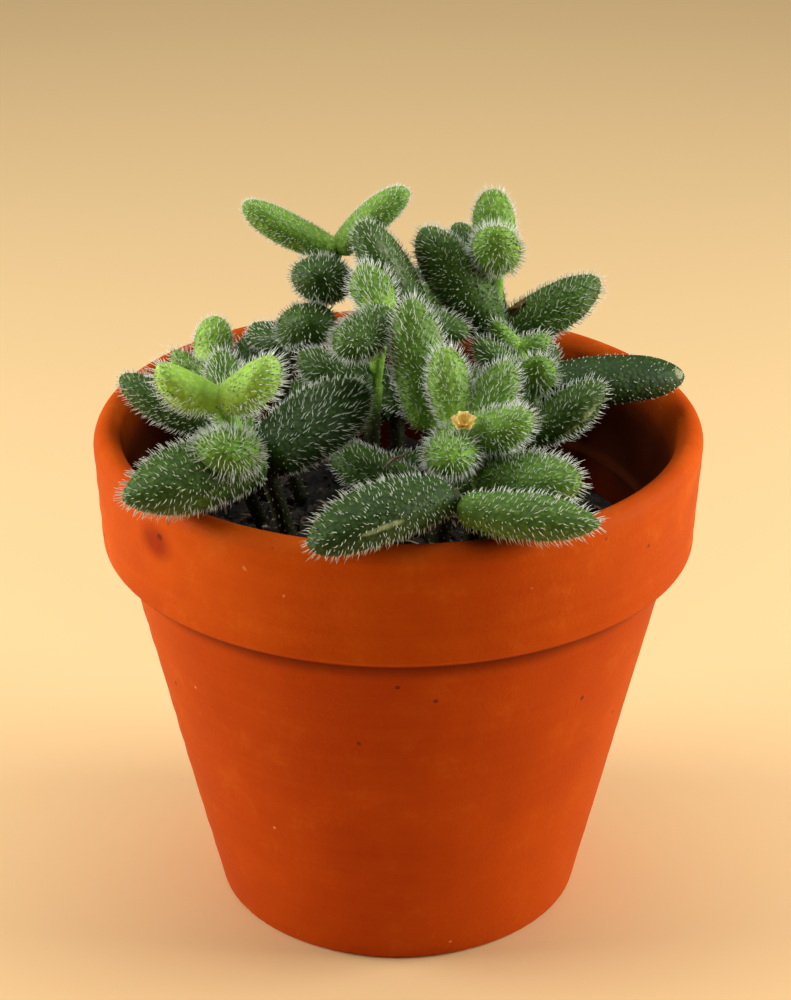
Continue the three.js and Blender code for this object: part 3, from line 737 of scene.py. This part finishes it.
def scatter(count, low, high, spread=31.0):
    """Seeded places on the soil inside a radius, with a size between low and high each."""
    radius = spread * np.sqrt(draw.uniform(0, 1, count))
    angle = draw.uniform(0, TURN, count)
    size = low + (high - low) * draw.uniform(0, 1, count) ** 2.5
    x, y = radius * np.cos(angle), radius * np.sin(angle)
    return np.stack([x, y, soil_top(x, y)], -1), size


def lumps(count, low, high, squash):
    """Seeded pebbles that lie about on the soil."""
    places, sizes = scatter(count, low, high)
    return joined([pebble(place + np.array([0, 0, 0.12 * size]), size, squash, number)
                   for number, (place, size) in enumerate(zip(places, sizes))])


def strip(start, end, width, rise, sides=5, steps=7):
    """A thin dry strip: a flat tube from start to end, arched up by rise in its middle, with a
    width that swells by a sine from its ends."""
    t = np.linspace(0, 1, steps)[:, None]
    start, end = np.array(start, float), np.array(end, float)
    middle = start * (1 - t) + end * t + np.array([0, 0, rise]) * (4 * t * (1 - t))
    along = unit(end - start)
    across = unit(np.cross(along, [0.2, 0.1, 1]))
    up = np.cross(across, along)
    angle = np.arange(sides) / sides * TURN
    wide = width / 2 * (0.45 + 0.55 * np.sin(np.pi * np.clip(t, 0.02, 0.98)))[:, :, None]
    ring = np.cos(angle)[:, None] * across + 0.4 * np.sin(angle)[:, None] * up
    return tube(middle[:, None] + wide * ring)


def litter(count, length, width):
    """Seeded strips that lie about on the soil."""
    places, sizes = scatter(count, 0.4 * length, length)
    turns = draw.uniform(0, TURN, count)
    tilt = draw.uniform(-0.12, 0.3, count)
    strips = []
    for place, size, turn, lean in zip(places, sizes, turns, tilt):
        reach = size / 2 * np.array([math.cos(turn), math.sin(turn), lean])
        middle = place + np.array([0, 0, 0.35])
        wide = width * (0.6 + 0.4 * size / length)
        strips.append(strip(middle - reach, middle + reach, wide, 0.15 * size))
    return joined(strips)


# Leaves
def girth(s, point):
    """The part of a leaf's half width at s along it: a sine swell from neck to belly, then a
    tip whose edge is a superellipse, and a rounded heel."""
    swell = NECK + (1 - NECK) * np.sin(np.clip(s / BELLY, 0, 1) * (math.pi / 2))
    beyond = np.clip((s - BELLY) / (1 - BELLY), 0, 1)
    tip = (1 - beyond ** (2.3 - 0.5 * point)) ** (1 / (2.1 - 0.8 * point))
    heel = np.sqrt(np.clip(1 - (1 - np.clip(s / 0.09, 0, 1)) ** 2, 0.0004, 1))
    return np.where(s < BELLY, swell, tip) * heel


class Leaf:
    """A leaf's own frame, and points on its skin: out from the middle line, across it by the
    sine of the angle and out of its upper face by the cosine, each times the girth."""

    def __init__(self, foot, heading, rise, length, width, curve, point):
        turn, lift = math.radians(heading), math.radians(rise)
        cosine, sine, level = math.cos(turn), math.sin(turn), math.cos(lift)
        self.foot = np.array(foot, float)
        self.length, self.width, self.curve, self.point = length, width, curve, point
        self.along = np.array([cosine * level, sine * level, math.sin(lift)])
        self.across = np.array([sine, -cosine, 0])
        self.up = np.cross(self.across, self.along)

    def middle(self, s):
        """The middle line: straight ahead by s, and bent up or down by a quadratic of s."""
        s = s[..., None]
        bow = self.up * self.length * self.curve * (4 * s * s - 2 * s)
        return self.foot + self.along * self.length * s + bow

    def skin(self, s, angle):
        wide = np.sin(angle)
        deep = np.cos(angle)
        deep = deep * np.where(deep > 0, UPPER_DEPTH, UNDER_DEPTH)
        reach = (girth(s, self.point) * self.width / 2)[..., None]
        return self.middle(s) + reach * (wide[..., None] * self.across + deep[..., None] * self.up)

    def outward(self, s, angle):
        """The skin's outward direction, from two small steps along and round it."""
        step = 0.004
        beyond, before = np.clip(s + step, 0, 0.9995), np.clip(s - step, 0, 1)
        ahead = self.skin(beyond, angle) - self.skin(before, angle)
        aside = self.skin(s, angle + step) - self.skin(s, angle - step)
        normal = unit(np.cross(ahead, aside))
        away = self.skin(s, angle) - self.middle(s)
        return normal * np.sign(np.sum(normal * away, -1, keepdims=True))


# Ovals on the leaves' skin, dry scars or patches of pale net: where along the leaf and round
# it, and how far each way
SCARS = {
    ("shoot_right", 0): [(0.94, 0.9, 0.05, 0.7)],
    ("shoot_right", 1): [(0.74, 2.0, 0.16, 0.20), (0.50, 2.1, 0.14, 0.14),
                         (0.33, 2.2, 0.05, 0.12)],
    ("shoot_low_front", 0): [(0.62, -1.45, 0.20, 0.10), (0.36, -1.35, 0.20, 0.07)],
    ("shoot_low_front", 1): [(0.45, 0.75, 0.42, 0.12)],
}
NETS = {
    ("shoot_inner", 0): [(0.62, 1.2, 0.22, 0.9)],
    ("shoot_behind", 0): [(0.58, -0.75, 0.34, 0.5)],
    ("tip_middle", 0): [(0.25, 1.4, 0.25, 0.8)],
}


def ovals(marks, s, angle):
    """The highest of the soft-edged ovals at each point of the skin."""
    most = np.zeros(np.broadcast(s, angle).shape)
    for at, round_at, long, wide in marks:
        aside = (angle - round_at + math.pi) % TURN - math.pi
        away = np.sqrt(((s - at) / long) ** 2 + (aside / wide) ** 2)
        most = np.maximum(most, 1 - smooth(away, 0.35, 1.1))
    return most


def leaf_form(leaf, key, tone):
    """The leaf's skin on a grid of rows along it, closer at the heel and tip, and columns round
    it, rippled by small sines. Its tone is paler above, and at the heel of a young leaf."""
    t = np.linspace(0, 1, LEAF_ROWS)
    s = (0.5 - 0.5 * np.cos(math.pi * t) * (1 - 0.1 * np.sin(math.pi * t)))[:, None]
    s = np.clip(s, 0.0005, 0.9992)
    angle = np.arange(LEAF_SIDES)[None] / LEAF_SIDES * TURN
    s, angle = np.broadcast_arrays(s, angle)
    ripple = 1 + 0.012 * np.sin(3 * angle + 9 * s + 11 * tone) + 0.01 * np.sin(17 * s + 4 * tone)
    points = leaf.middle(s) + (leaf.skin(s, angle) - leaf.middle(s)) * ripple[..., None]
    heel = (1 - smooth(s, 0, 0.4)) * smooth(tone, 0.35, 0.6)
    shade = tone + 0.05 * np.cos(angle) + 0.3 * heel
    return tube(points, tone=shade, scar=ovals(SCARS.get(key, []), s, angle),
                net=ovals(NETS.get(key, []), s, angle), stalk=0 * s)


def stem_path(shoot, count):
    """Points along a smooth curve through the stem's own points: a Catmull-Rom curve whose
    pieces last as long as the square root of their length."""
    points = np.array(shoot.stem, float)
    if shoot.on:
        away = points[1] - points[0]
        points[0] = points[0] - away / np.linalg.norm(away) * 0.4
    else:
        points = np.concatenate([[points[0] - [0, 0, ROOT_DEPTH]], points])
    ends = np.concatenate([[2 * points[0] - points[1]], points, [2 * points[-1] - points[-2]]])
    gaps = np.sqrt(np.linalg.norm(np.diff(ends, axis=0), axis=1))
    knots = np.concatenate([[0], np.cumsum(gaps)])
    places = np.linspace(knots[1], knots[-2] - 1e-6, count)
    piece_of = np.clip(np.searchsorted(knots, places, "right") - 1, 1, len(points) - 1)
    p = [ends[piece_of + k] for k in (-1, 0, 1, 2)]
    k = [knots[piece_of + j][:, None] for j in (-1, 0, 1, 2)]
    t = places[:, None]
    a = [((k[j + 1] - t) * p[j] + (t - k[j]) * p[j + 1]) / (k[j + 1] - k[j]) for j in range(3)]
    b = [((k[j + 2] - t) * a[j] + (t - k[j]) * a[j + 1]) / (k[j + 2] - k[j]) for j in range(2)]
    return ((k[2] - t) * b[0] + (t - k[1]) * b[1]) / (k[2] - k[1])


def stem_frame(path):
    """Across and up at each point of a path, square to it."""
    along = unit(np.gradient(path, axis=0))
    across = unit(np.cross(along, [0.31, 0.9, 0.17]))
    return along, across, np.cross(across, along)


def stem_form(shoot, tone):
    """A round tube along the stem's path, a little thicker at its leaf pairs and domed on top.
    Its tone runs from the first to the second of the pair given."""
    path = stem_path(shoot, STEM_ROWS)
    _, across, up = stem_frame(path)
    angle = np.arange(STEM_SIDES) / STEM_SIDES * TURN
    nodes = np.array([shoot.stem[leaf[0]] for leaf in shoot.leaves], float)
    near = np.min(np.linalg.norm(path[:, None] - nodes, axis=2), axis=1)
    radius = shoot.thick * (0.92 + 0.12 * np.exp(-(near / 1.5) ** 2))
    last = np.linspace(-30, 1, STEM_ROWS).clip(0, 0.97)
    radius = radius * np.sqrt(1 - last ** 2)
    ring = np.cos(angle)[:, None] * across[:, None] + np.sin(angle)[:, None] * up[:, None]
    rows = path[:, None] + radius[:, None, None] * ring
    even = np.zeros(rows.shape[:2])
    shade = tone[0] + (tone[1] - tone[0]) * smooth(np.linspace(0, 1, STEM_ROWS), 0.7, 1)
    return tube(rows, tone=even + shade[:, None], scar=even, net=even, stalk=even + 1)


# Bristles
def bristles(root, normal, lean, length, wart, tone):
    """One curved cone a root: it leaves along the normal, bends towards lean, and tapers from a
    wide wart through a thin shaft to a point. All roots are worked out at once."""
    count = len(root)
    levels = np.array([0.0, 0.16, 0.55])
    radii = np.stack([wart, 0.38 * wart, 0.23 * wart], 1)
    aside = unit(np.cross(normal, lean + 1e-3))
    angle = np.arange(HAIR_SIDES) / HAIR_SIDES * TURN
    t = np.append(levels, 1.0)[None, :, None]
    reach = length[:, None, None]
    sink = 0.06 * normal[:, None]
    path = normal[:, None] * (t - 0.25 * t * t) + lean[:, None] * t * t
    centre = root[:, None] - sink + reach * path
    up = np.cross(aside, normal)
    ring = np.cos(angle)[None, :, None] * aside[:, None] + np.sin(angle)[None, :, None] * up[:, None]
    rows = centre[:, :3, None] + radii[:, :, None, None] * ring[:, None]
    points = np.concatenate([rows.reshape(count, -1, 3), centre[:, 3:]], 1)
    j = np.arange(HAIR_SIDES)
    k = (j + 1) % HAIR_SIDES
    above = HAIR_SIDES
    wall = [np.stack([j + base, k + base, k + base + above], -1) for base in (0, above)]
    wall += [np.stack([j + base, k + base + above, j + base + above], -1) for base in (0, above)]
    last = 2 * HAIR_SIDES
    wall += [np.stack([j + last, k + last, np.full(HAIR_SIDES, 3 * HAIR_SIDES)], -1)]
    foot = [np.array([[0, 2, 1]])]
    pattern = outward(points[0], np.concatenate(wall + foot))
    each = 3 * HAIR_SIDES + 1
    triangles = (pattern[None] + each * np.arange(count)[:, None, None]).reshape(-1, 3)
    up_values = np.tile(np.append(np.repeat(levels, HAIR_SIDES), 1.0), count)
    return points.reshape(-1, 3), triangles, {"up": up_values, "tone": np.repeat(tone, each)}


def leaf_bristles(leaf, tone, length, spacing, upper):
    """Roots spread by the golden angle round the leaf, as many along it as its girth asks, with
    fewer and shorter ones on a smoother upper face."""
    s = np.linspace(0.03, 0.996, 400)
    weight = np.cumsum(girth(s, leaf.point) + 0.3 * smooth(s, 0.9, 1))
    area = math.pi * 0.9 * girth(s, leaf.point).mean() * leaf.width * leaf.length * 0.9
    count = int(area / (spacing * spacing))
    share = (np.arange(count) + 0.5) / count
    at = np.interp(share, weight / weight[-1], s) + draw.normal(0, 0.006, count)
    at = np.clip(at, 0.03, 0.997)
    angle = np.arange(count) * GOLDEN_ANGLE + draw.normal(0, 0.13, count)
    facing = np.cos(angle)
    smoother = smooth(facing, -0.3, 0.2) * (1 - upper) * (1 - smooth(at, 0.8, 0.95))
    keep = draw.uniform(0, 1, count) > smoother
    at, angle, smoother = at[keep], angle[keep], smoother[keep]
    count = len(at)
    normal = leaf.outward(at, angle)
    stray = draw.normal(0, 0.10, (count, 3))
    lean = leaf.along * (0.20 + 0.16 * draw.uniform(0, 1, count))[:, None] + stray
    normal = unit(normal + leaf.along * 0.18 + 0.6 * stray)
    long = HAIR_STRETCH * length * draw.uniform(0.72, 1.18, count)
    long = long * (0.62 + 0.38 * smooth(at, 0.0, 0.3)) * (1 - 0.6 * smoother)
    wart = (0.10 + 0.12 * min(spacing, 0.7)) * draw.uniform(0.85, 1.15, count)
    return bristles(leaf.skin(at, angle), normal, lean, long, wart, np.full(count, tone))


def stem_bristles(shoot, tone, length):
    """Short soft hairs spread by the golden angle along the stem above the soil."""
    path = stem_path(shoot, 60)
    along, across, up = stem_frame(path)
    reach = np.linalg.norm(np.diff(path, axis=0), axis=1).sum()
    count = int(reach * shoot.thick * TURN / 0.9)
    place = (np.arange(count) + 0.5) / count * 59
    row = place.astype(int)
    part = (place - row)[:, None]
    spot = path[row] * (1 - part) + path[np.minimum(row + 1, 59)] * part
    turn = np.arange(count) * GOLDEN_ANGLE
    normal = np.cos(turn)[:, None] * across[row] + np.sin(turn)[:, None] * up[row]
    clear = spot[:, 2] > soil_top(spot[:, 0], spot[:, 1]) + 0.5
    spot, normal, row, count = spot[clear], normal[clear], row[clear], int(clear.sum())
    lean = along[row] * 0.15 + draw.normal(0, 0.15, (count, 3))
    long = length * draw.uniform(0.6, 1.2, count)
    return bristles(spot + normal * shoot.thick * 0.9, normal, lean, long,
                    np.full(count, 0.10), np.full(count, tone))


# Flower
def flower_form():
    """A wilted flower: a ruffled cup and a smaller one inside it, tipped to the front. Each is
    a thin skin, out over its inner face and back under it; its edge waves by sines of the angle,
    and its height grows as the square of the distance out."""
    tilt = math.radians(FLOWER_TILT)
    cosine, sine = math.cos(tilt), math.sin(tilt)
    forward = np.array([[1, 0, 0], [0, cosine, -sine], [0, sine, cosine]])
    angle = np.arange(72)[None] / 72 * TURN
    out = np.concatenate([np.linspace(0.04, 1, 14), np.linspace(1, 0.04, 14)])[:, None]
    under = np.repeat([0.0, 1.0], 14)[:, None]
    forms = []
    for wide, high, turn in ((1.45, 0.85, 0.0), (0.9, 1.15, 0.8)):
        ruffle = 0.07 * np.sin(5 * angle + turn) + 0.06 * np.sin(11 * angle + 3 * turn)
        wave = 0.2 * np.sin(7 * angle + 2 * turn) + 0.12 * np.sin(13 * angle + turn)
        radius = wide * out * (1 + out * ruffle)
        lift = high * out ** 2 * (1 + wave) - 0.13 * under * (1 - 0.6 * out)
        rows = np.stack([radius * np.cos(angle), radius * np.sin(angle), lift], -1)
        skin = np.array(FLOWER_PLACE) + rows @ forward.T
        forms.append(tube(skin, along=1 - out + 0.25 * wave))
    return joined(forms)


# White bits on the soil: place across and back, and size
WHITE_BITS = [(6.2, 1.2, 1.8), (4.6, 2.2, 1.0), (-17.6, -5.4, 0.9)]

# Straws on the soil, and dried sheaths and a shed bud caught between the stems: start, end,
# width and rise
STRAWS = [((6.2, 3.0, 51.3), (8.8, 7.6, 52.2), 0.5, 0.6),
          ((5.4, 7.0, 51.2), (7.6, 3.0, 52.2), 0.4, 0.5),
          ((6.8, 5.0, 51.4), (7.8, 2.2, 51.2), 0.6, 0.4)]
DRIED = [((14.2, 8.0, 78.2), (16.9, 9.0, 81.4), 1.5, 0.5),
         ((13.6, 8.6, 79.0), (15.8, 8.2, 80.6), 1.1, 0.3)]
REDDISH = [((8.0, 0.8, 79.6), (9.6, 1.2, 80.9), 1.0, 0.3),
           ((8.3, 0.2, 80.6), (9.2, 1.6, 79.8), 0.7, 0.2)]
PINKISH = [((-1.9, -12.2, 66.6), (0.9, -11.8, 68.2), 0.8, 0.4),
           ((-0.4, -12.4, 67.0), (1.4, -12.0, 68.9), 0.6, 0.3)]
GREYISH = [((-15.9, 12.0, 71.6), (-14.6, 11.8, 75.0), 0.9, 0.3),
           ((-16.4, 12.2, 73.6), (-14.0, 11.8, 72.4), 0.7, 0.3)]


def white_bits():
    return [pebble((x, y, soil_top(x, y) + 0.3), size, 0.8, size) for x, y, size in WHITE_BITS]


def strips(lines):
    return [strip(*line) for line in lines]


# Build
piece("clay_pot", pot_form(), clay(), "terracotta", "pot")
piece("soil_surface", soil_form(), earth(), "soil", "soil")

# Loose things on the soil and between the stems: name, form, and the dark and light of its finish
LOOSE = [
    ("soil_crumbs", lumps(900, 0.5, 2.6, 0.75), (0.006, 0.005, 0.004), (0.050, 0.034, 0.020)),
    ("perlite", joined([lumps(16, 0.8, 2.0, 0.8), *white_bits()]),
     (0.55, 0.52, 0.46), (0.82, 0.79, 0.72)),
    ("bark_fibres", litter(120, 6.5, 0.9), (0.045, 0.026, 0.016), (0.22, 0.13, 0.075)),
    ("straw", joined([litter(14, 6, 0.45), *strips(STRAWS)]),
     (0.30, 0.19, 0.10), (0.60, 0.44, 0.26)),
    ("dried_sheath", joined(strips(DRIED)), (0.10, 0.045, 0.010), (0.34, 0.17, 0.05)),
    ("reddish_bud", joined(strips(REDDISH)), (0.14, 0.022, 0.010), (0.30, 0.060, 0.030)),
    ("pinkish_shreds", joined(strips(PINKISH)), (0.20, 0.11, 0.08), (0.46, 0.30, 0.24)),
    ("greyish_shreds", joined(strips(GREYISH)), (0.12, 0.09, 0.06), (0.34, 0.28, 0.20)),
]
for name, form, dark, light in LOOSE:
    piece(name, form, bits(name, dark, light), "soil")

skin_finish = leaf_skin()
hair_finish = bristle_hair()
carriers = {shoot.on for shoot in SHOOTS.values()}
for name, shoot in SHOOTS.items():
    if shoot.look == "young":
        slot, stalk, hair = "leaf_young", (0.78, 0.92), 0.9
    else:
        slot, stalk, hair = "leaf_dark", (0.10, 0.75 if name in carriers else 0.35), 0.3
    skins = [stem_form(shoot, stalk)]
    hairs = [stem_bristles(shoot, hair, STEM_HAIR_LENGTH)]
    for number, (place, *shape, tone, bristle, gap, upper) in enumerate(shoot.leaves):
        leaf = Leaf(shoot.stem[place], *shape)
        skins.append(leaf_form(leaf, (name, number), tone))
        hairs.append(leaf_bristles(leaf, tone, bristle, gap, upper))
    piece("skin_" + name, joined(skins), skin_finish, slot, name)
    piece("bristles_" + name, joined(hairs), hair_finish, slot)

piece("withered_petals", flower_form(), petal_skin(), "petal", "wilted_flower")


# Setting
def area_light(name, place, aim, size, power):
    """A soft box at a place in metres that faces a point."""
    lamp = bpy.data.lights.new(name, "AREA")
    lamp.shape = "RECTANGLE"
    lamp.size, lamp.size_y = size
    lamp.energy = power
    made = bpy.data.objects.new(name, lamp)
    bpy.context.scene.collection.objects.link(made)
    made.location = place
    away = np.array(aim, float) - np.array(place, float)
    tip = math.acos(-away[2] / np.linalg.norm(away))
    made.rotation_euler = (tip, 0, math.atan2(away[0], -away[1]) + math.pi)


def studio():
    """A pale floor, a soft box at each side, a wide one above and behind, and a dim world."""
    mesh = bpy.data.meshes.new("floor")
    mesh.from_pydata([(-2, -2, 0), (2, -2, 0), (2, 2, 0), (-2, 2, 0)], [], [(0, 1, 2, 3)])
    floor = bpy.data.objects.new("floor", mesh)
    bpy.context.scene.collection.objects.link(floor)
    material, start, shader, _ = finish("pale_floor")
    paint(start, shader, Base_Color=(0.90, 0.62, 0.29, 1), Roughness=0.9)
    mesh.materials.append(material)
    area_light("left_box", (-0.40, -0.01, 0.19), (0, 0, 0.06), (0.24, 0.24), 1.8)
    area_light("right_box", (0.40, -0.01, 0.19), (0, 0, 0.06), (0.24, 0.24), 1.9)
    area_light("top_box", (0.0, 0.22, 0.75), (0, 0.16, 0), (0.8, 0.8), 3.6)
    world = bpy.data.worlds.new("pale_world")
    world.use_nodes = True
    background = world.node_tree.nodes["Background"]
    background.inputs["Color"].default_value = (1.0, 0.90, 0.76, 1)
    background.inputs["Strength"].default_value = 0.035
    scene = bpy.context.scene
    scene.world = world
    scene.view_settings.view_transform = "Standard"


def camera():
    """The photograph's view: 25.4 degrees down from in front."""
    lens = bpy.data.cameras.new("view")
    lens.sensor_width = 36
    lens.lens = CAMERA_LENS
    made = bpy.data.objects.new("view", lens)
    bpy.context.scene.collection.objects.link(made)
    made.location = CAMERA_PLACE
    made.rotation_euler = (math.radians(90 - CAMERA_DOWN), 0, 0)
    bpy.context.scene.camera = made


studio()
camera()
